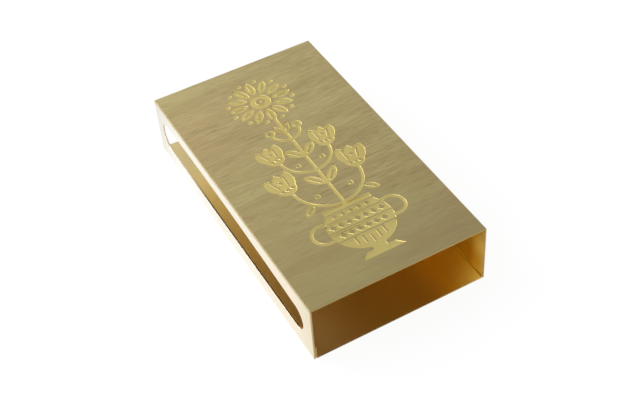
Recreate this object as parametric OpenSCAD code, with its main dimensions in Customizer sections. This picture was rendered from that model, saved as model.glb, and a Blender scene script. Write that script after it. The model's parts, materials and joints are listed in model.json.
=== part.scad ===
// Open-ended brass sleeve for one flat matchbox, soldered up from four plates.
// Length runs along Y, the slotted wall is at -X and the sleeve rests on z = 0.

/* [Sleeve] */
// Length between the two open ends
sleeve_l = 120; // [100:1:160]
// Width over both side walls
sleeve_w = 66; // [50:1:90]
// Height from the resting face to the upper face
sleeve_h = 24; // [21:0.5:40]
// Thickness of the sheet
sheet = 0.6; // [0.5:0.1:1.4]
// Rounding of the upper plate's long outer edges
edge_r = 0.4; // [0.2:0.05:0.5]

/* [Striker slot] */
// Height of the slot's lower edge above the resting face
slot_sill = 6.2; // [3:0.1:7]
// Height of the slot at its front end, which is fully round
slot_front_h = 10.2; // [6:0.1:11]
// Height of the slot at its back end, which is fully round
slot_back_h = 12.2; // [10.4:0.1:12.6]
// Rise of the slot's arched upper edge over the straight line between its ends
slot_arch = 1.2; // [0.6:0.1:1.6]
// Wall left standing between the slot and the front opening
slot_front = 6; // [3:0.2:20]
// Wall left standing between the slot and the back opening
slot_back = 4.4; // [3:0.2:20]

/* [Lap lip] */
// How far the lip's upper edge lies below the slot's lower edge
lip_drop = 0.5; // [0.3:0.05:1.5]
// Inside radius of the bend between base plate and lip
bend_r = 0.3; // [0.1:0.05:0.5]

/* [Solder] */
// Leg of the fillets in the inner corners
fillet_leg = 0.45; // [0.3:0.05:1]
// Leg of the small fillet along the lip
lap_leg = 0.25; // [0.1:0.05:0.3]
// Length left without solder at each open end
seam_stop = 0.4; // [0.2:0.1:3]

/* [Etched ornament] */
// Depth of the etched recess
etch_depth = 0.25; // [0.1:0.05:0.4]
// Plain plate left between the ornament and each open end
plain_end = 9; // [6:0.5:14]
// Width of the stem and the branches
stem_w = 1.3; // [0.8:0.1:1.6]
// Width of the lines left standing inside the motifs
vein_w = 0.55; // [0.3:0.05:0.7]
// Reach of the rosette's petals from its centre
rosette_r = 12.5; // [10:0.25:14]
// Number of petals in the rosette
petals = 12; // [10:1:14]
// Height of a tulip in the lowest tier
tulip_h = 11.5; // [9:0.25:13]
// Angle by which the tulips lean outwards
tulip_lean = 9; // [0:1:15]
// Radius of the branches in the lowest tier
branch_r = 13; // [10:0.25:15]
// Distance from one tier of branches to the next
tier_pitch = 18.6; // [17:0.2:19]
// Length of a leaf on the stem
leaf_l = 9; // [6:0.25:10]
// Radius of the vase's body
vase_r = 12; // [9:0.25:13]

/* [Hidden] */
$fn = 96;

over = 1;                         // how far a cutter runs past what it cuts
arc_fn = 1440;                    // facets on the slot's long flat arc
arc_dip = 0.05;                   // the arc starts this far below the top of each round end
half_w = sleeve_w / 2;
wall_in = half_w - sheet;         // inner face of a side wall
wall_h = sleeve_h - sheet;        // the walls stand under the top plate
lip_top = slot_sill - lip_drop;
seam_l = sleeve_l - 2 * seam_stop;
bend_out = bend_r + sheet;        // outer radius of the base plate's bend

foot_w = 16;
foot_h = 2.6;
foot_neck_h = 1.2;
rim_w = 18.4;
rim_h = 2.2;
handle_r = 5;
vase_foot = plain_end - sleeve_l / 2;
vase_y = vase_foot + foot_h + foot_neck_h + vase_r;
vase_top = vase_y + 0.68 * vase_r;
stem_foot = vase_top + rim_h;
bead_r = 1;
eye_r = 4;
rosette_y = sleeve_l / 2 - plain_end - rosette_r - bead_r;
stem_top = rosette_y - rosette_r;
crown_r = 5.4;                    // branches of the crown over the tiers
crown_h = 10;
tiers = max(1, floor((stem_top - stem_foot - crown_h) / tier_pitch));
tier_step = 3.4;                  // how much each tier's branches are tighter than those below
least_r = 7;                      // and the tightest that they get

brass = [0.71, 0.63, 0.36];
polished = [0.86, 0.78, 0.52];
solder = [0.80, 0.76, 0.60];

// A flat outline in X and Z, drawn out along Y about the middle of the sleeve
module along_sleeve(length) {
    translate([0, length / 2, 0]) rotate([90, 0, 0]) linear_extrude(length) children();
}

// A hollow-faced fillet with its corner at the origin, filling the +X +Z quarter
module fillet_outline(leg) {
    difference() {
        square(leg);
        translate([leg, leg]) circle(leg);
    }
}

module both_sides() {
    children();
    mirror([1, 0]) children();
}

// A pointed leaf along +Y from its tip at the origin
module leaf_outline(length, width) {
    r = (length * length + width * width) / (4 * width);
    intersection() {
        translate([r - width / 2, length / 2]) circle(r);
        translate([width / 2 - r, length / 2]) circle(r);
    }
}

// A leaf with its midrib left standing
module leaf(length, width) {
    difference() {
        leaf_outline(length, width);
        translate([-vein_w / 2, length * 0.2]) square([vein_w, length * 0.52]);
    }
}

// A quarter of a ring about (0, r), from the stem at the origin to its end at (r, r)
module branch(r) {
    translate([0, r]) intersection() {
        difference() {
            circle(r + stem_w / 2);
            circle(r - stem_w / 2);
        }
        translate([0, -r - stem_w]) square(r + stem_w);
    }
}

// A ring with a standing dot, centred on the origin
module berry(r) {
    difference() {
        circle(r);
        circle(r * 0.42);
    }
}

// Three pointed petals on a round cup, standing on the origin
module tulip(h) {
    cup_r = h * 0.34;
    difference() {
        union() {
            translate([0, cup_r - stem_w / 2]) circle(cup_r);
            translate([0, h * 0.12]) leaf_outline(h * 0.84, h * 0.42);
            both_sides() translate([h * 0.09, h * 0.1]) rotate(-20)
                leaf_outline(h * 0.88, h * 0.44);
        }
        both_sides() translate([h * 0.14, h * 0.36]) rotate(-10)
            square([vein_w, h * 0.42]);
        translate([0, h * 0.56]) rotate(45) square(h * 0.1, center = true);
        for (x = [-1 : 1 : 1])
            translate([x * h * 0.17, h * 0.2]) rotate(45) square(h * 0.085, center = true);
    }
}

// A flower of pointed petals round a ringed eye, with a bead between each two petals
module rosette() {
    petal_l = rosette_r - eye_r - vein_w;
    petal_w = 0.82 * (eye_r + petal_l / 2) * 2 * tan(180 / petals);
    for (i = [0 : petals - 1]) rotate(i * 360 / petals)
        translate([0, eye_r + vein_w]) difference() {
            leaf_outline(petal_l, petal_w);
            translate([-vein_w / 2, petal_l * 0.3]) square([vein_w, petal_l * 0.45]);
        }
    for (i = [0 : petals - 1]) rotate((i + 0.5) * 360 / petals)
        translate([0, rosette_r - bead_r * 0.4]) circle(bead_r);
    berry(eye_r);
    circle(eye_r * 0.2);
}

// A two-handled vase, its body crossed by standing lines, lozenges and flutes
module vase() {
    lozenge = vase_r * 0.14;
    translate([0, vase_foot])
        polygon([[-foot_w / 2, 0], [foot_w / 2, 0], [foot_w * 0.34, foot_h], [-foot_w * 0.34, foot_h]]);
    translate([-foot_w * 0.16, vase_foot + foot_h - over / 2])
        square([foot_w * 0.32, foot_neck_h + over]);
    difference() {
        translate([0, vase_y]) circle(vase_r);
        translate([-vase_r - over, vase_top - vein_w]) square(2 * vase_r + 2 * over);
        for (k = [0.34, -0.04, -0.42])
            translate([-vase_r - over, vase_y + k * vase_r]) square([2 * vase_r + 2 * over, vein_w]);
        for (x = [-3 : 1 : 3])
            translate([x * vase_r * 0.26, vase_y + 0.18 * vase_r]) rotate(45)
                square(lozenge, center = true);
        for (x = [-2.5 : 1 : 2.5])
            translate([x * vase_r * 0.26, vase_y - 0.2 * vase_r]) rotate(45)
                square(lozenge, center = true);
        for (x = [-2 : 1 : 2]) {
            translate([x * vase_r * 0.22 - vein_w / 2, vase_y - 0.84 * vase_r + abs(x) * vase_r * 0.06])
                square([vein_w, vase_r * 0.3]);
            translate([x * vase_r * 0.26, vase_y + 0.53 * vase_r]) circle(vase_r * 0.06);
        }
    }
    translate([-rim_w / 2, vase_top]) square([rim_w, rim_h]);
    both_sides() difference() {
        translate([vase_r + 1, vase_y + 1]) difference() {
            circle(handle_r);
            circle(handle_r - stem_w);
        }
        translate([0, vase_y]) circle(vase_r - vein_w);
    }
}

// One tier: a pair of curved branches with their tulips, leaves and berries
module tier(i) {
    r = max(least_r, branch_r - tier_step * i);
    both_sides() {
        branch(r);
        translate([r, r]) rotate(-tulip_lean) tulip(tulip_h - i);
        if (i == 0) translate([r * 0.72, r * 0.3]) rotate(-128) leaf(leaf_l * 0.72, leaf_l / 3);
        translate([0, r * 0.78]) rotate(-40) translate([0, stem_w * 0.6]) leaf(leaf_l - i, leaf_l * 0.4);
        translate([r * 0.5, r * 0.52]) berry(1.2);
    }
}

// The whole ornament on the plate's own centre, growing towards +Y
module ornament() {
    crown_y = stem_foot + tiers * tier_pitch + 0.6;
    vase();
    translate([-stem_w / 2, stem_foot - over]) square([stem_w, stem_top - stem_foot + 2 * over]);
    for (i = [0 : tiers - 1]) translate([0, stem_foot + 0.6 + i * tier_pitch]) tier(i);
    translate([0, crown_y]) both_sides() {
        branch(crown_r);
        translate([crown_r, crown_r + 1]) berry(2);
        translate([0, crown_r * 0.5]) rotate(-22) translate([0, stem_w]) leaf(leaf_l * 0.66, leaf_l * 0.24);
    }
    translate([0, rosette_y]) rosette();
}

module top_plate() {
    color(brass) difference() {
        along_sleeve(sleeve_l) difference() {
            translate([-half_w, wall_h]) square([sleeve_w, sheet]);
            both_sides() translate([half_w - edge_r, sleeve_h - edge_r]) difference() {
                square(edge_r + over);
                circle(edge_r);
            }
        }
        translate([0, 0, sleeve_h - etch_depth]) linear_extrude(etch_depth + over) ornament();
    }
}

module base_plate() {
    color(polished) along_sleeve(sleeve_l) {
        translate([-wall_in + bend_out, 0]) square([2 * wall_in - bend_out, sheet]);
        translate([-wall_in, bend_out]) square([sheet, lip_top - bend_out]);
        translate([-wall_in + bend_out, bend_out]) intersection() {
            difference() {
                circle(bend_out);
                circle(bend_r);
            }
            translate([-bend_out, -bend_out]) square(bend_out);
        }
    }
}

// The slot's outline with length along X, front end towards -X, height along Y
module slot_outline() {
    front_r = slot_front_h / 2;
    back_r = slot_back_h / 2;
    x0 = slot_front + front_r - sleeve_l / 2;
    x1 = sleeve_l / 2 - slot_back - back_r;
    chord = norm([x1 - x0, slot_back_h - slot_front_h]);
    slope = atan2(slot_back_h - slot_front_h, x1 - x0);
    arc_r = (chord * chord / 4 + slot_arch * slot_arch) / (2 * slot_arch);
    translate([x0, slot_sill + front_r]) circle(front_r);
    translate([x1, slot_sill + back_r]) circle(back_r);
    intersection() {
        translate([x0, slot_sill]) square([x1 - x0, slot_back_h + slot_arch]);
        translate([x0, slot_sill + slot_front_h - arc_dip]) rotate(slope)
            translate([chord / 2, slot_arch - arc_r]) circle(arc_r, $fn = arc_fn);
    }
}

module striker_wall() {
    color(polished) difference() {
        translate([-half_w, -sleeve_l / 2, 0]) cube([sheet, sleeve_l, wall_h]);
        translate([-half_w - over, 0, 0]) rotate([90, 0, 90])
            linear_extrude(sheet + 2 * over) slot_outline();
    }
}

module plain_wall() {
    color(polished) translate([wall_in, -sleeve_l / 2, 0]) cube([sheet, sleeve_l, wall_h]);
}

module solder_top_striker_wall() {
    color(solder) along_sleeve(seam_l)
        translate([-wall_in, wall_h]) mirror([0, 1]) fillet_outline(fillet_leg);
}

module solder_top_plain_wall() {
    color(solder) along_sleeve(seam_l)
        translate([wall_in, wall_h]) rotate(180) fillet_outline(fillet_leg);
}

module solder_base_plain_wall() {
    color(solder) along_sleeve(seam_l)
        translate([wall_in, sheet]) mirror([1, 0]) fillet_outline(fillet_leg);
}

module solder_base_groove() {
    color(solder) along_sleeve(seam_l)
        translate([-wall_in, 0]) fillet_outline(bend_out);
}

module solder_lap_seam() {
    color(solder) along_sleeve(seam_l)
        translate([-wall_in, lip_top]) fillet_outline(lap_leg);
}

top_plate();
base_plate();
striker_wall();
plain_wall();
solder_top_striker_wall();
solder_top_plain_wall();
solder_base_plain_wall();
solder_base_groove();
solder_lap_seam();
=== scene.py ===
import json
import math

import bpy
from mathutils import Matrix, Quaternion, Vector
from mathutils.bvhtree import BVHTree

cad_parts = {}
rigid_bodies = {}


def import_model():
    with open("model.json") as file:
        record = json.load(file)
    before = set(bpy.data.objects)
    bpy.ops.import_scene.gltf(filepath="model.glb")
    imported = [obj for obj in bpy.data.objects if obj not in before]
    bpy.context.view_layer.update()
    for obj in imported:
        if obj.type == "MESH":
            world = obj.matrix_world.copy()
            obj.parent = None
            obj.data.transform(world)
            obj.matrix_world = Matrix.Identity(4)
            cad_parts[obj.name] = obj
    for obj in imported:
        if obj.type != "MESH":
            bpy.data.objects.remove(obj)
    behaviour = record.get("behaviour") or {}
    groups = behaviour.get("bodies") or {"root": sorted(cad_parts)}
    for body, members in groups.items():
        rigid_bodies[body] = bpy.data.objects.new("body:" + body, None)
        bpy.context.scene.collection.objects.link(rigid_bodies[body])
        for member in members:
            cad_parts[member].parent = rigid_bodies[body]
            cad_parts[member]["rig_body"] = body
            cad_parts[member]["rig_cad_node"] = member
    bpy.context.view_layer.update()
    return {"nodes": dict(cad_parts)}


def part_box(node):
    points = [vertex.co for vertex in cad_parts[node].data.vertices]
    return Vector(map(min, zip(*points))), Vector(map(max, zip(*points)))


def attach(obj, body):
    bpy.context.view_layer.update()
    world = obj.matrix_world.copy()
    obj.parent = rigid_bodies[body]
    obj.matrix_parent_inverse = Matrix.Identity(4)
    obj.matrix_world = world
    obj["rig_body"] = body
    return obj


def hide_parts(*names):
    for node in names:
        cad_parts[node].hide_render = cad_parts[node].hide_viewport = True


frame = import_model()

mm = 0.001
tiny = 0.001 * mm  # well below any step in the shape

# Corners of the plates, which the finishes and the shaping share
wallLow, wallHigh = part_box("striker_wall")
topLow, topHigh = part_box("top_plate")
sheet = wallHigh.x - wallLow.x
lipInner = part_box("base_plate")[0].x + sheet
print("frame loaded")


# Small helpers for selecting, meshes and node trees

def makeActive(piece):
    bpy.ops.object.select_all(action="DESELECT")
    piece.select_set(True)
    bpy.context.view_layer.objects.active = piece


def startEditing(piece):
    makeActive(piece)
    bpy.ops.object.mode_set(mode="EDIT")
    bpy.ops.mesh.select_all(action="SELECT")


def stopEditing():
    bpy.ops.object.mode_set(mode="OBJECT")


def mergedCopy(nodeName, pieceName):
    # A copy of a CAD node with its loose triangles merged, so that it can be worked on
    makeActive(frame["nodes"][nodeName])
    bpy.ops.object.duplicate()
    piece = bpy.context.view_layer.objects.active
    piece.name = pieceName
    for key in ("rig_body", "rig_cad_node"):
        del piece[key]
    piece.parent = None
    piece.data.materials.clear()
    startEditing(piece)
    bpy.ops.mesh.remove_doubles(threshold=tiny)
    bpy.ops.mesh.normals_make_consistent(inside=False)
    stopEditing()
    return piece


def addNode(tree, kind, **settings):
    node = tree.nodes.new(kind)
    for name, value in settings.items():
        setattr(node, name, value)
    return node


def metalMaterial(name):
    material = bpy.data.materials.new(name)
    material.use_nodes = True
    tree = material.node_tree
    tree.nodes.clear()
    shader = addNode(tree, "ShaderNodeBsdfPrincipled")
    output = addNode(tree, "ShaderNodeOutputMaterial")
    tree.links.new(shader.outputs["BSDF"], output.inputs["Surface"])
    shader.inputs["Metallic"].default_value = 1.0
    return material, tree, shader


def newGroup(name, inputs, outputs):
    # A node group that takes and gives plain numbers; inputs holds each one's usual value
    group = bpy.data.node_groups.new(name, "ShaderNodeTree")
    for socketName, usual in inputs.items():
        socket = group.interface.new_socket(socketName, in_out="INPUT", socket_type="NodeSocketFloat")
        socket.default_value = usual
    for socketName in outputs:
        group.interface.new_socket(socketName, in_out="OUTPUT", socket_type="NodeSocketFloat")
    return group, group.nodes.new("NodeGroupInput"), group.nodes.new("NodeGroupOutput")


def placeGroup(tree, group, values):
    node = addNode(tree, "ShaderNodeGroup", node_tree=group)
    for name, value in values.items():
        node.inputs[name].default_value = value
    return node


def mathNode(tree, operation, *values):
    node = addNode(tree, "ShaderNodeMath", operation=operation)
    for socket, value in zip(node.inputs, values):
        if isinstance(value, (int, float)):
            socket.default_value = value
        else:
            tree.links.new(value, socket)
    return node.outputs[0]


def times(tree, first, second):
    return mathNode(tree, "MULTIPLY", first, second)


def plus(tree, first, second):
    return mathNode(tree, "ADD", first, second)


def stretched(tree, value, span):
    # 0 where the value meets the span's first number, 1 where it meets the second
    spread = addNode(tree, "ShaderNodeMapRange")
    spread.inputs["From Min"].default_value, spread.inputs["From Max"].default_value = span
    tree.links.new(value, spread.inputs["Value"])
    return spread.outputs["Result"]


def mixColours(tree, factor, first, second):
    node = addNode(tree, "ShaderNodeMix", data_type="RGBA")
    tree.links.new(factor, node.inputs[0])
    for index, colour in ((6, first), (7, second)):  # a Mix node's colour sockets
        if isinstance(colour, tuple):
            node.inputs[index].default_value = (*colour, 1)
        else:
            tree.links.new(colour, node.inputs[index])
    return node.outputs[2]


def toneRamp(tree, value, steps, easing="LINEAR"):
    # steps are (position, colour), from the lowest position up
    ramp = addNode(tree, "ShaderNodeValToRGB")
    ramp.color_ramp.interpolation = easing
    stops = ramp.color_ramp.elements
    while len(stops) < len(steps):
        stops.new(0.5)
    for stop, (where, colour) in zip(stops, steps):
        stop.position = where
        stop.color = (*colour, 1)
    tree.links.new(value, ramp.inputs[0])
    return ramp.outputs["Color"]


def coordinates(tree, kind="Object"):
    return addNode(tree, "ShaderNodeTexCoord").outputs[kind]


def apart(tree, place):
    # A place's X, Y and Z
    parts = addNode(tree, "ShaderNodeSeparateXYZ")
    tree.links.new(place, parts.inputs[0])
    return parts.outputs


# The patterns that more than one finish uses

grainLook = {
    "drift": 0.9 * mm,  # how far a scratch wanders from its line
    "driftScale": 90.0,
    "layers": ((1.0, 0.0), (2.3, 7.0)),  # how much finer than the first, and its seed
    "detail": 3.0,
    "roughness": 0.6,
    "height": 0.05 * mm,
}


def buildBrushGrain():
    # Fine scratches along X, as a value about 0.5 that serves as tone and as height
    group, given, put = newGroup("brushGrain", {"Length": 110.0, "Fineness": 1300.0}, ("Streak",))
    place = coordinates(group)
    parts = apart(group, place)
    wander = addNode(group, "ShaderNodeTexNoise")
    wander.inputs["Scale"].default_value = grainLook["driftScale"]
    wander.inputs["Detail"].default_value = 1.0
    group.links.new(place, wander.inputs["Vector"])
    across = plus(group, parts["Y"], times(group, wander.outputs["Fac"], grainLook["drift"]))
    along = times(group, parts["X"], given.outputs["Length"])
    side = times(group, across, given.outputs["Fineness"])
    streaks = []
    for finer, seed in grainLook["layers"]:
        joined = addNode(group, "ShaderNodeCombineXYZ")
        group.links.new(times(group, along, finer), joined.inputs["X"])
        group.links.new(times(group, side, finer), joined.inputs["Y"])
        joined.inputs["Z"].default_value = seed
        noise = addNode(group, "ShaderNodeTexNoise")
        noise.inputs["Scale"].default_value = 1.0
        noise.inputs["Detail"].default_value = grainLook["detail"]
        noise.inputs["Roughness"].default_value = grainLook["roughness"]
        group.links.new(joined.outputs[0], noise.inputs["Vector"])
        streaks.append(noise.outputs["Fac"])
    group.links.new(times(group, plus(group, *streaks), 0.5), put.inputs["Streak"])
    return group


handlingLook = {
    "Patch": {"finer": 1.0, "detail": 2.0, "span": (0.36, 0.66)},
    "Smudge": {"finer": 4.5, "detail": 4.0, "span": (0.42, 0.72)},
}


def buildHandling():
    # Soft patches of thin tarnish and smaller finger marks, 0 to 1
    group, given, put = newGroup("handling", {"Size": 40.0, "Seed": 0.0}, handlingLook)
    moved = addNode(group, "ShaderNodeMapping")
    joined = addNode(group, "ShaderNodeCombineXYZ")
    group.links.new(given.outputs["Seed"], joined.inputs["X"])
    group.links.new(coordinates(group), moved.inputs["Vector"])
    group.links.new(joined.outputs[0], moved.inputs["Location"])
    for name, look in handlingLook.items():
        noise = addNode(group, "ShaderNodeTexNoise")
        noise.inputs["Detail"].default_value = look["detail"]
        group.links.new(moved.outputs[0], noise.inputs["Vector"])
        group.links.new(times(group, given.outputs["Size"], look["finer"]), noise.inputs["Scale"])
        group.links.new(stretched(group, noise.outputs["Fac"], look["span"]), put.inputs[name])
    return group


brushGrain = buildBrushGrain()
handling = buildHandling()


def addBump(tree, shader, height, strength):
    bump = addNode(tree, "ShaderNodeBump")
    bump.inputs["Strength"].default_value = strength
    bump.inputs["Distance"].default_value = grainLook["height"]
    tree.links.new(height, bump.inputs["Height"])
    tree.links.new(bump.outputs["Normal"], shader.inputs["Normal"])


# The upper plate's brushed face

brushedLook = {
    "light": (0.725, 0.592, 0.284),
    "dark": (0.517, 0.398, 0.175),
    "green": (0.655, 0.598, 0.272),  # two tarnishes, in soft patches
    "rose": (0.615, 0.462, 0.235),
    "brown": (0.550, 0.408, 0.202),  # in the darker bands
    "paintedShade": (0.170, 0.135, 0.060),  # painted shade, mixed in towards the right and the front
    "scratch": (0.330, 0.240, 0.095),  # single scratches, dark and bright
    "bright": (0.740, 0.640, 0.340),
    "grain": {"Length": 110.0, "Fineness": 1300.0},  # a higher number is a finer pattern
    "bands": {"Length": 12.0, "Fineness": 110.0},
    "nicks": {"Length": 85.0, "Fineness": 900.0},
    "marks": {"Size": 30.0, "Seed": 0.3},
    "others": {"Size": 22.0, "Seed": 5.2},
    "grainSpan": (0.42, 0.58),  # the part of each pattern that is stretched to 0 and 1
    "bandSpan": (0.38, 0.62),
    "brownSpan": (0.56, 0.40),
    "scratchSpan": (0.46, 0.36),
    "brightSpan": (0.54, 0.64),
    "calmEnd": (topLow.y + 4 * mm, topLow.y + 40 * mm),  # where the calmer front passes into the rest
    "grainShare": 0.60,
    "patchShare": 0.40,
    "brownShare": 0.45,
    "crowd": (0.35, 0.75),  # single scratches everywhere, and more of them in smudges
    "frontCrowd": 0.25,  # share of them that the front has
    "scratchShare": 0.85,
    "brightShare": 0.75,
    "contrast": (0.45, 0.80, 0.35),  # of the streaks at the front left, then added backwards and rightwards
    "paintedShadeShare": (0.22, 0.08),  # shares of painted shade to the right, and to the front
    "roughness": (0.36, 0.28),  # of dark and of light streaks
    "bump": 0.12,
}


def brushedTone(tree, grain, bands, backwards, rightwards):
    # Streaks from 0, dark, to 1, light
    look = brushedLook
    fine = times(tree, stretched(tree, grain, look["grainSpan"]), look["grainShare"])
    broad = times(tree, stretched(tree, bands, look["bandSpan"]), 1 - look["grainShare"])
    least, backMore, rightMore = look["contrast"]
    contrast = plus(tree, times(tree, backwards, backMore), least)
    contrast = plus(tree, contrast, times(tree, rightwards, rightMore))
    swing = plus(tree, plus(tree, fine, broad), -0.5)
    return plus(tree, times(tree, swing, contrast), 0.5)


def brushedBrass():
    look = brushedLook
    material, tree, shader = metalMaterial("brushedBrass")
    grain, bands, nicks = (
        placeGroup(tree, brushGrain, look[name]).outputs["Streak"] for name in ("grain", "bands", "nicks")
    )
    marks, others = (placeGroup(tree, handling, look[name]).outputs for name in ("marks", "others"))
    parts = apart(tree, coordinates(tree))
    backwards = stretched(tree, parts["Y"], look["calmEnd"])
    rightwards = stretched(tree, parts["X"], (topLow.x, topHigh.x))
    both = brushedTone(tree, grain, bands, backwards, rightwards)
    toned = mixColours(tree, both, look["dark"], look["light"])
    for patch, tone in ((marks["Patch"], "green"), (others["Patch"], "rose")):
        toned = mixColours(tree, times(tree, patch, look["patchShare"]), toned, look[tone])
    browner = times(tree, stretched(tree, bands, look["brownSpan"]), look["brownShare"])
    toned = mixColours(tree, browner, toned, look["brown"])
    # Single scratches stand in crowds, fewer of them at the front
    everywhere, inSmudges = look["crowd"]
    crowd = plus(tree, times(tree, others["Smudge"], inSmudges), everywhere)
    fewer = plus(tree, times(tree, backwards, 1 - look["frontCrowd"]), look["frontCrowd"])
    crowd = times(tree, crowd, fewer)
    for tone in ("scratch", "bright"):
        lines = times(tree, stretched(tree, nicks, look[tone + "Span"]), crowd)
        toned = mixColours(tree, times(tree, lines, look[tone + "Share"]), toned, look[tone])
    # Painted shade: the plate is darkened towards the right and towards the front
    rightShade, frontShade = look["paintedShadeShare"]
    forwards = mathNode(tree, "SUBTRACT", 1.0, backwards)
    paintedShade = plus(tree, times(tree, rightwards, rightShade), times(tree, forwards, frontShade))
    tree.links.new(mixColours(tree, paintedShade, toned, look["paintedShade"]), shader.inputs["Base Color"])
    darkRough, lightRough = look["roughness"]
    rough = plus(tree, times(tree, both, lightRough - darkRough), darkRough)
    tree.links.new(rough, shader.inputs["Roughness"])
    addBump(tree, shader, grain, look["bump"])
    return material


# Plain sheet: one tone with faint rolling lines and soft tarnish

rolledLook = {
    "grain": {"Length": 260.0, "Fineness": 1500.0},
    "patchSize": 46.0,
    "patchShare": 0.7,
    "lineShare": 0.3,
    "smudge": 0.07,
    "bump": 0.02,
}
sheetLook = {
    "etchedBrass": {
        "pale": (0.820, 0.680, 0.248), "deep": (0.700, 0.570, 0.190), "rough": 0.36, "seed": 1.7,
        "bump": 0.10,
    },
    "etchedEdgeBrass": {
        "pale": (0.650, 0.545, 0.225), "deep": (0.560, 0.465, 0.180), "rough": 0.40, "seed": 1.7,
    },
    "roundedEdgeBrass": {
        "pale": (0.590, 0.510, 0.310), "deep": (0.530, 0.450, 0.265), "rough": 0.75, "seed": 4.1,
    },
    "polishedBrass": {
        "pale": (0.900, 0.780, 0.500), "deep": (0.800, 0.665, 0.385), "rough": 0.18, "seed": 4.1,
    },
    # The cut ends: rough cut faces, made darker still with painted shade
    "cutBrassPaintedShade": {
        "pale": (0.400, 0.290, 0.095), "deep": (0.330, 0.235, 0.070), "rough": 0.42, "seed": 12.3,
    },
    "cutWallBrassPaintedShade": {
        "pale": (0.480, 0.300, 0.080), "deep": (0.410, 0.240, 0.060), "rough": 0.38, "seed": 12.3,
    },
    "cutStrikerBrassPaintedShade": {
        "pale": (0.520, 0.390, 0.205), "deep": (0.460, 0.340, 0.170), "rough": 0.38, "seed": 12.3,
    },
    "cutLipBrassPaintedShade": {
        "pale": (0.420, 0.290, 0.120), "deep": (0.350, 0.230, 0.090), "rough": 0.42, "seed": 12.3,
    },
    "solderMetal": {
        "pale": (0.560, 0.340, 0.030), "deep": (0.450, 0.270, 0.020), "rough": 0.42, "seed": 15.2,
    },
}


def sheetBrass(name):
    look = sheetLook[name]
    material, tree, shader = metalMaterial(name)
    grain = placeGroup(tree, brushGrain, rolledLook["grain"]).outputs["Streak"]
    marks = placeGroup(tree, handling, {"Size": rolledLook["patchSize"], "Seed": look["seed"]}).outputs
    patch = times(tree, marks["Patch"], rolledLook["patchShare"])
    lined = times(tree, grain, rolledLook["lineShare"])
    toned = mixColours(tree, plus(tree, patch, lined), look["pale"], look["deep"])
    tree.links.new(toned, shader.inputs["Base Color"])
    rough = plus(tree, times(tree, marks["Smudge"], rolledLook["smudge"]), look["rough"])
    tree.links.new(rough, shader.inputs["Roughness"])
    addBump(tree, shader, grain, look.get("bump", rolledLook["bump"]))
    return material


# Sheet whose tone changes along one axis as painted light and shade, with a painted highlight around one
# place.
# The inside is painted pale at its left, dull in the middle and deep gold at its right.

paintedLightLook = {
    # The inside faces: painted light and shade from left to right, and a painted highlight at the front
    # right corner
    "innerBrassPaintedLight": {
        "axis": "X",
        "tones": (
            (0.0, (0.835, 0.690, 0.355)),
            (0.50, (0.680, 0.500, 0.085)),
            (0.66, (0.640, 0.450, 0.045)),
            (0.82, (0.920, 0.610, 0.026)),
            (1.0, (1.000, 0.690, 0.085)),
        ),
        "rough": (0.35, 0.44),
        "dull": (0.500, 0.390, 0.190),
        "paintedHighlightAt": (topHigh.x, topLow.y, sheet),
        "reach": 13.0 * mm,
        "paintedHighlight": (1.0, 0.820, 0.300),
        "rougher": 0.25,
    },
    # Inside of the right wall: a painted highlight at its front edge, painted shade behind it
    "innerWallBrassPaintedLight": {
        "axis": "Y",
        "tones": (
            (0.0, (1.000, 0.900, 0.440)),
            (0.03, (1.000, 0.730, 0.100)),
            (0.07, (0.720, 0.440, 0.014)),
            (0.14, (0.600, 0.370, 0.010)),
            (0.22, (0.740, 0.460, 0.015)),
            (0.45, (0.740, 0.560, 0.180)),
        ),
        "rough": (0.40, 0.34),
        "dull": (0.520, 0.330, 0.060),
        "paintedHighlightAt": (topHigh.x, topLow.y, 14.0 * mm),
        "reach": 11.0 * mm,
        "paintedHighlight": (1.0, 0.810, 0.210),
        "rougher": 0.20,
    },
    # The slot's cut faces: painted shade, near black in the middle, and a painted highlight toward the far
    # end
    "slotBrassPaintedLight": {
        "axis": "Y",
        "tones": (
            (0.0, (0.420, 0.290, 0.140)),
            (0.25, (0.070, 0.040, 0.012)),
            (0.62, (0.070, 0.040, 0.012)),
            (0.82, (0.900, 0.830, 0.620)),
        ),
        "rough": (0.40, 0.85),
        "dull": (0.300, 0.200, 0.090),
        "paintedHighlightAt": (topLow.x, topHigh.y - 4.4 * mm, 12.0 * mm),
        "reach": 12.0 * mm,
        "paintedHighlight": (0.920, 0.850, 0.640),
        "rougher": 0.0,
    },
    # The base's cut front end: painted shade, darkest at the left, and a painted highlight at the right
    # corner
    "cutBaseBrassPaintedLight": {
        "axis": "X",
        "tones": (
            (0.0, (0.190, 0.115, 0.040)),
            (0.60, (0.240, 0.130, 0.030)),
            (1.0, (0.560, 0.380, 0.130)),
        ),
        "rough": (0.45, 0.45),
        "dull": (0.160, 0.095, 0.030),
        "paintedHighlightAt": (topHigh.x, topLow.y, 0.0),
        "reach": 9.0 * mm,
        "paintedHighlight": (0.700, 0.500, 0.200),
        "rougher": 0.0,
    },
    # Outside of the left wall: pale polished brass, darker towards both ends as painted shade, with a broad
    # painted highlight low toward the back
    "outerWallBrassPaintedLight": {
        "axis": "Y",
        "tones": (
            (0.0, (0.815, 0.710, 0.475)),
            (0.12, (0.920, 0.800, 0.600)),
            (0.50, (0.930, 0.870, 0.720)),
            (0.80, (0.930, 0.870, 0.720)),
            (1.0, (0.760, 0.695, 0.590)),
        ),
        "rough": (0.20, 0.16),
        "dull": (0.860, 0.790, 0.620),
        "paintedHighlightAt": (topLow.x, topHigh.y - 20.0 * mm, 2.0 * mm),
        "reach": 30.0 * mm,
        "paintedHighlight": (0.980, 0.950, 0.900),
        "rougher": 0.0,
    },
}
wearAndHighlightFade = {"marks": {"Size": 30.0, "Seed": 8.9}, "patchShare": 0.2, "smudge": 0.015, "fade": 1.4}
endToEnd = {"X": (topLow.x, topHigh.x), "Y": (topLow.y, topHigh.y)}


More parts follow.
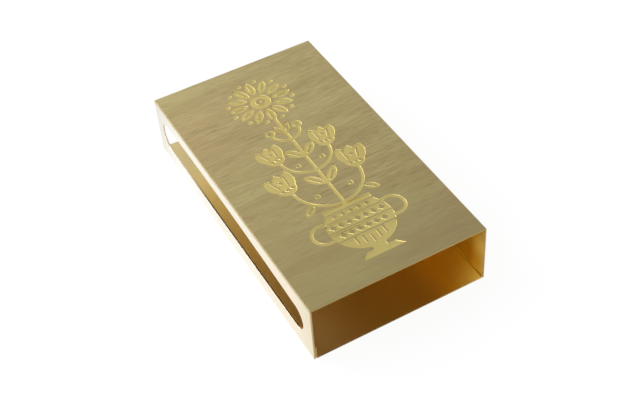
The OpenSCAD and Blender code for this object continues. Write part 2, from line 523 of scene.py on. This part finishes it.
def paintedLightBrass(name):
    look = paintedLightLook[name]
    material, tree, shader = metalMaterial(name)
    grain = placeGroup(tree, brushGrain, rolledLook["grain"]).outputs["Streak"]
    marks = placeGroup(tree, handling, wearAndHighlightFade["marks"]).outputs
    place = coordinates(tree)
    across = stretched(tree, apart(tree, place)[look["axis"]], endToEnd[look["axis"]])
    # The tones along the axis are painted light and shade
    toned = toneRamp(tree, across, look["tones"], "EASE")
    toned = mixColours(tree, times(tree, marks["Patch"], wearAndHighlightFade["patchShare"]), toned, look["dull"])
    # Painted highlight, fading out around one place
    away = addNode(tree, "ShaderNodeVectorMath", operation="DISTANCE")
    away.inputs[1].default_value = look["paintedHighlightAt"]
    tree.links.new(place, away.inputs[0])
    highlightMask = stretched(tree, away.outputs["Value"], (look["reach"], 0.0))
    highlightMask = mathNode(tree, "POWER", highlightMask, wearAndHighlightFade["fade"])
    tree.links.new(mixColours(tree, highlightMask, toned, look["paintedHighlight"]), shader.inputs["Base Color"])
    first, last = look["rough"]
    rough = plus(tree, times(tree, across, last - first), first)
    rough = plus(tree, rough, times(tree, marks["Smudge"], wearAndHighlightFade["smudge"]))
    rough = plus(tree, rough, times(tree, highlightMask, look["rougher"]))
    tree.links.new(rough, shader.inputs["Roughness"])
    addBump(tree, shader, grain, rolledLook["bump"])
    return material


finishes = {"brushedBrass": brushedBrass()}
for name in sheetLook:
    finishes[name] = sheetBrass(name)
for name in paintedLightLook:
    finishes[name] = paintedLightBrass(name)
print("finishes made:", len(finishes))


# The walls and the base plate

plateLook = {
    "edge": 0.10 * mm,  # width of the softened edges
    "edgeSteps": 2,
    "edgeAngle": 40,  # degrees, as below; sharper edges than this are softened
    "smoothAngle": 20,  # edges up to this look round
    "flatAngle": 0.5,  # faces that are flatter to each other than this are joined
    "endDepth": 0.2 * mm,  # how far from the open end a cut face may lie
    "slotRoom": 1 * mm,  # the slot's cut faces keep this far from the wall's lower and upper edges
}
turned = 0.3  # share of the normal along an axis that makes a face look that way
facing = 0.5  # the same for a face that looks straight along the axis


def atOpenEnd(normal, middle):
    return abs(normal.y) > turned and abs(middle.y) > topHigh.y - plateLook["endDepth"]


def finishFaces(piece, pick):
    # pick gives the name of each face's finish from its normal and its middle
    used = []
    for face in piece.data.polygons:
        name = pick(face.normal, face.center)
        if name not in used:
            used.append(name)
            piece.data.materials.append(finishes[name])
        face.material_index = used.index(name)


def keepPiece(piece, nodeName):
    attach(piece, "root")
    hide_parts(nodeName)


def makePlate(nodeName, pieceName, pick, cutAtX=None):
    piece = mergedCopy(nodeName, pieceName)
    startEditing(piece)
    bpy.ops.mesh.dissolve_limited(angle_limit=math.radians(plateLook["flatAngle"]))
    stopEditing()
    if cutAtX is not None:
        # Parts the lip's cut end from the base's, so that each takes its own finish
        startEditing(piece)
        bpy.ops.mesh.bisect(plane_co=(cutAtX, 0, 0), plane_no=(1, 0, 0))
        stopEditing()
    bevel = piece.modifiers.new("softEdges", "BEVEL")
    bevel.width = plateLook["edge"]
    bevel.segments = plateLook["edgeSteps"]
    bevel.limit_method = "ANGLE"
    bevel.angle_limit = math.radians(plateLook["edgeAngle"])
    bpy.ops.object.modifier_apply(modifier=bevel.name)
    bpy.ops.object.shade_smooth_by_angle(angle=math.radians(plateLook["smoothAngle"]))
    finishFaces(piece, pick)
    keepPiece(piece, nodeName)


def wallPick(outward, outside, cut, inside):
    # outward is -1 for the left wall and 1 for the right one
    def pick(normal, middle):
        if atOpenEnd(normal, middle):
            return cut
        inSlot = plateLook["slotRoom"] < middle.z < wallHigh.z - plateLook["slotRoom"]
        if abs(normal.x) < turned and inSlot:
            return "slotBrassPaintedLight"
        return outside if normal.x * outward > -facing else inside
    return pick


def basePick(normal, middle):
    if abs(normal.y) > turned:
        return "cutLipBrassPaintedShade" if middle.x < lipInner else "cutBaseBrassPaintedLight"
    return "polishedBrass" if normal.z < -facing else "innerBrassPaintedLight"


makePlate("striker_wall", "strikerWall", wallPick(-1, "outerWallBrassPaintedLight", "cutStrikerBrassPaintedShade", "innerBrassPaintedLight"))
makePlate("plain_wall", "plainWall", wallPick(1, "polishedBrass", "cutWallBrassPaintedShade", "innerWallBrassPaintedLight"))
makePlate("base_plate", "basePlate", basePick, lipInner)
print("walls and base made")


# The upper plate with its etched ornament

etchLook = {
    "slope": 0.20 * mm,  # how far the foot of an etched wall stands out from its top
    "share": 0.4,  # of the room to the opposite wall, at most
    "reach": 3 * mm,  # how far away an opposite wall is looked for
    "widest": 1.8,  # how much further a corner may move than a straight wall
    "border": 2 * mm,  # no ornament is nearer to the long edges
    "edgeRoom": 1 * mm,  # the long edges' roundings lie within this
    "edgeTurn": 0.12,  # how far a normal leans where the rounding begins
    "upright": 0.1,  # how far the normal of an etched wall may lean
    "alike": 0.01,  # normals that differ by less are one wall's
    "floorTurn": 0.9,  # the etched floor's faces look up at least this straight
}
touching = 0.01 * mm


def recessFloor(mesh):
    # Height of the etched floor, the lowest inner level above the plate's underside
    inner = topHigh.x - etchLook["border"]
    heights = [v.co.z for v in mesh.vertices if abs(v.co.x) < inner]
    return min(z for z in heights if z > topLow.z + touching)


def etchedFeet(mesh, floorZ):
    # The vertices at the foot of each etched wall, with the normals of the walls that meet there
    feet = {}
    for face in mesh.polygons:
        if abs(face.normal.z) > etchLook["upright"]:
            continue
        corners = [mesh.vertices[i] for i in face.vertices]
        if min(corner.co.z for corner in corners) < floorZ - touching:
            continue
        for corner in corners:
            if corner.co.z < floorZ + touching:
                normals = feet.setdefault(corner.index, [])
                if all((face.normal - other).length > etchLook["alike"] for other in normals):
                    normals.append(face.normal.copy())
    return feet


def slopeEtchedWalls(mesh):
    # Moves the foot of each etched wall into its recess, so that the wall slopes as acid leaves it
    floorZ = recessFloor(mesh)
    tree = BVHTree.FromPolygons([v.co for v in mesh.vertices], [f.vertices for f in mesh.polygons])
    lift = Vector((0, 0, 0.5 * (topHigh.z - floorZ)))
    moves = {}
    for index, normals in etchedFeet(mesh, floorZ).items():
        way = sum(normals, Vector()).normalized()
        if not way.length:
            continue  # walls that look at each other cancel out
        wider = 1 / max(1 / etchLook["widest"], way.dot(normals[0]))
        start = mesh.vertices[index].co + lift + way * 2 * touching
        hit = tree.ray_cast(start, way, etchLook["reach"])
        room = hit[3] if hit[0] is not None else etchLook["reach"]
        moves[index] = way * min(etchLook["slope"] * wider, etchLook["share"] * room)
    for index, move in moves.items():
        mesh.vertices[index].co += move
    print("etched walls sloped:", len(moves))


def topPick(normal, middle):
    if atOpenEnd(normal, middle):
        return "cutBrassPaintedShade"
    if normal.z < -facing:
        return "innerBrassPaintedLight"
    if abs(middle.x) > topHigh.x - etchLook["edgeRoom"]:
        return "roundedEdgeBrass" if abs(normal.x) > etchLook["edgeTurn"] else "brushedBrass"
    if middle.z < topHigh.z - tiny:
        return "etchedBrass" if normal.z > etchLook["floorTurn"] else "etchedEdgeBrass"
    return "brushedBrass"


def makeTopPlate():
    piece = mergedCopy("top_plate", "topPlate")
    slopeEtchedWalls(piece.data)
    finishFaces(piece, topPick)
    keepPiece(piece, "top_plate")


def finishSolder():
    for nodeName, node in frame["nodes"].items():
        if nodeName.startswith("solder"):
            node.data.materials.clear()
            node.data.materials.append(finishes["solderMetal"])


makeTopPlate()
finishSolder()
print("top plate made, solder finished")


# The studio

floorLook = {
    "side": 3.0,
    "glow": 0.90,  # what camera and metal see of the paper's own white
    "shadowed": 0.12,  # what is added to it where light falls, so that the object's shadow shows
    "paper": 0.82,  # what the object's own light comes back from
}


def makeFloor():
    bpy.ops.mesh.primitive_plane_add(size=floorLook["side"], location=(0, 0, 0))
    floor = bpy.context.view_layer.objects.active
    floor.name = "paperFloor"
    material = bpy.data.materials.new("whitePaper")
    material.use_nodes = True
    tree = material.node_tree
    tree.nodes.clear()
    output = addNode(tree, "ShaderNodeOutputMaterial")
    paper = addNode(tree, "ShaderNodeBsdfDiffuse")
    paper.inputs["Color"].default_value = (floorLook["paper"],) * 3 + (1,)
    seen = addNode(tree, "ShaderNodeBsdfDiffuse")
    seen.inputs["Color"].default_value = (floorLook["shadowed"],) * 3 + (1,)
    glow = addNode(tree, "ShaderNodeEmission")
    glow.inputs["Strength"].default_value = floorLook["glow"]
    both = addNode(tree, "ShaderNodeAddShader")
    tree.links.new(seen.outputs[0], both.inputs[0])
    tree.links.new(glow.outputs[0], both.inputs[1])
    ray = addNode(tree, "ShaderNodeLightPath")
    direct = mathNode(tree, "MAXIMUM", ray.outputs["Is Camera Ray"], ray.outputs["Is Glossy Ray"])
    direct = mathNode(tree, "MAXIMUM", direct, ray.outputs["Is Transmission Ray"])
    mixed = addNode(tree, "ShaderNodeMixShader")
    tree.links.new(direct, mixed.inputs[0])
    tree.links.new(paper.outputs[0], mixed.inputs[1])
    tree.links.new(both.outputs[0], mixed.inputs[2])
    tree.links.new(mixed.outputs[0], output.inputs["Surface"])
    floor.data.materials.append(material)


skyLook = {
    "levels": ((0.0, 1.0), (0.42, 1.0), (0.60, 0.88), (0.74, 0.44), (1.0, 0.28)),  # height and brightness
    "strength": 1.0,
}


def makeWorld():
    # White to the camera. Metal sees it white near the horizon and darker overhead.
    world = bpy.data.worlds.new("studio")
    bpy.context.scene.world = world
    world.use_nodes = True
    tree = world.node_tree
    tree.nodes.clear()
    output = addNode(tree, "ShaderNodeOutputWorld")
    sky = addNode(tree, "ShaderNodeBackground")
    sky.inputs["Strength"].default_value = skyLook["strength"]
    upwards = apart(tree, coordinates(tree, "Generated"))["Z"]
    shaded = toneRamp(tree, upwards, [(height, (level,) * 3) for height, level in skyLook["levels"]])
    ray = addNode(tree, "ShaderNodeLightPath")
    seen = mixColours(tree, ray.outputs["Is Camera Ray"], shaded, (1, 1, 1))
    tree.links.new(seen, sky.inputs["Color"])
    tree.links.new(sky.outputs[0], output.inputs["Surface"])


lampLook = {
    "softbox": {"place": (-0.55, 0.35, 0.75), "size": 0.6, "power": 3.0},
    "sideWindow": {"place": (-0.75, -0.50, 0.06), "size": 0.6, "power": 5.2},
    "backWindow": {"place": (-0.35, 0.80, 0.30), "size": 0.6, "power": 3.0},
}


def makeLamps():
    for name, look in lampLook.items():
        bpy.ops.object.light_add(type="AREA", location=look["place"])
        lamp = bpy.context.view_layer.objects.active
        lamp.name = name
        lamp.data.shape = "SQUARE"
        lamp.data.size = look["size"]
        lamp.data.energy = look["power"]
        lamp.rotation_mode = "QUATERNION"
        lamp.rotation_quaternion = (-Vector(look["place"])).to_track_quat("-Z", "Y")


cameraLook = {
    "place": (-128.583 * mm, -270.626 * mm, 302.682 * mm),
    "aim": (-1.145 * mm, -8.419 * mm, 12.0 * mm),
    "roll": -4.8065,  # degrees
    "lens": 65.904,
    "film": 36.0,
    "nearest": 10 * mm,
}


def makeCamera():
    bpy.ops.object.camera_add(location=cameraLook["place"])
    camera = bpy.context.view_layer.objects.active
    camera.name = "photoCamera"
    camera.data.lens = cameraLook["lens"]
    camera.data.sensor_width = cameraLook["film"]
    camera.data.clip_start = cameraLook["nearest"]
    camera.rotation_mode = "QUATERNION"
    way = Vector(cameraLook["aim"]) - Vector(cameraLook["place"])
    turn = Quaternion((0, 0, 1), math.radians(cameraLook["roll"]))
    camera.rotation_quaternion = way.to_track_quat("-Z", "Y") @ turn
    bpy.context.scene.camera = camera


makeFloor()
makeWorld()
makeLamps()
makeCamera()
scene = bpy.context.scene
scene.view_settings.view_transform = "Standard"
scene.cycles.glossy_bounces = 12  # light goes to and fro inside the sleeve
print("studio made")
